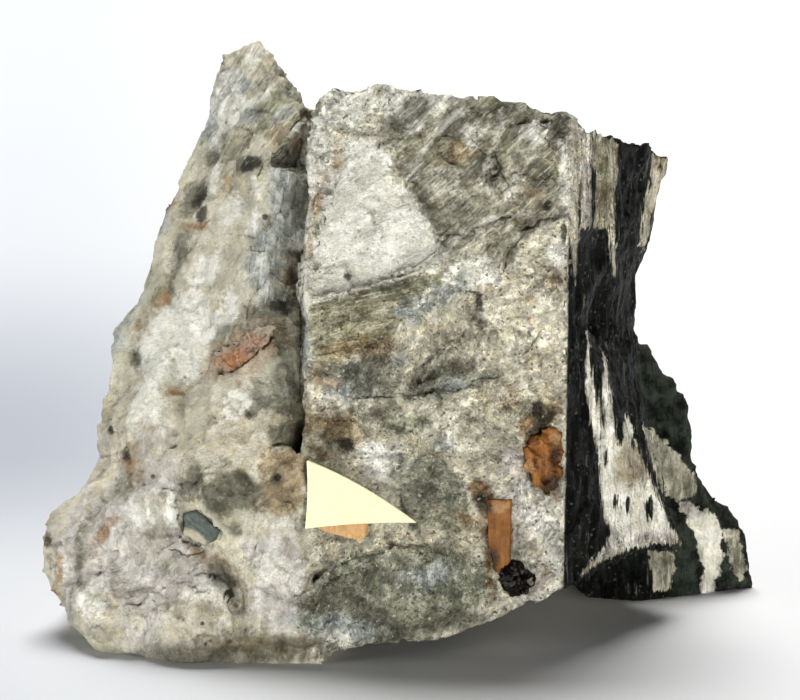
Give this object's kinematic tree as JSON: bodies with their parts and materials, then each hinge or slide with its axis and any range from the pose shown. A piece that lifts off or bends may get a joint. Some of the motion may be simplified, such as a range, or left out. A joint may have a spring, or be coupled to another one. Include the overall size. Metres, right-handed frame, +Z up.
{
  "type": "lavenite mineral specimen",
  "caption": "Broken piece of pale feldspar rock with brown lavenite crystals, a black crystal wall, a spire and a small paper pointer.",
  "frame": {"origin": "middle of the outline, on the surface that the rock stands on", "axes": "+X to the right of the face with the pointer, +Y away from whoever looks at that face, +Z up"},
  "size_m": [0.0616, 0.0384, 0.0493],
  "materials": {
    "rock": "rough broken feldspar rock, grey-white with green-grey, tan and black areas",
    "lavenite": "orange-brown crystal, resinous, slightly see-through at its edges",
    "rusty_lavenite": "granular pinkish rust-brown crystal",
    "aegirine": "black-brown glassy crystal knot",
    "blue_grey": "dull blue-grey crystal",
    "paper": "pale yellow uncoated paper"
  },
  "bodies": {
    "root": {"rock_matrix": "rock", "lavenite_prism": "lavenite", "lavenite_wedge": "lavenite", "lavenite_under_pointer": "lavenite", "lavenite_streak": "rusty_lavenite", "aegirine_knot": "aegirine", "blue_grey_crystal": "blue_grey", "paper_pointer": "paper"}
  },
  "joints": []
}
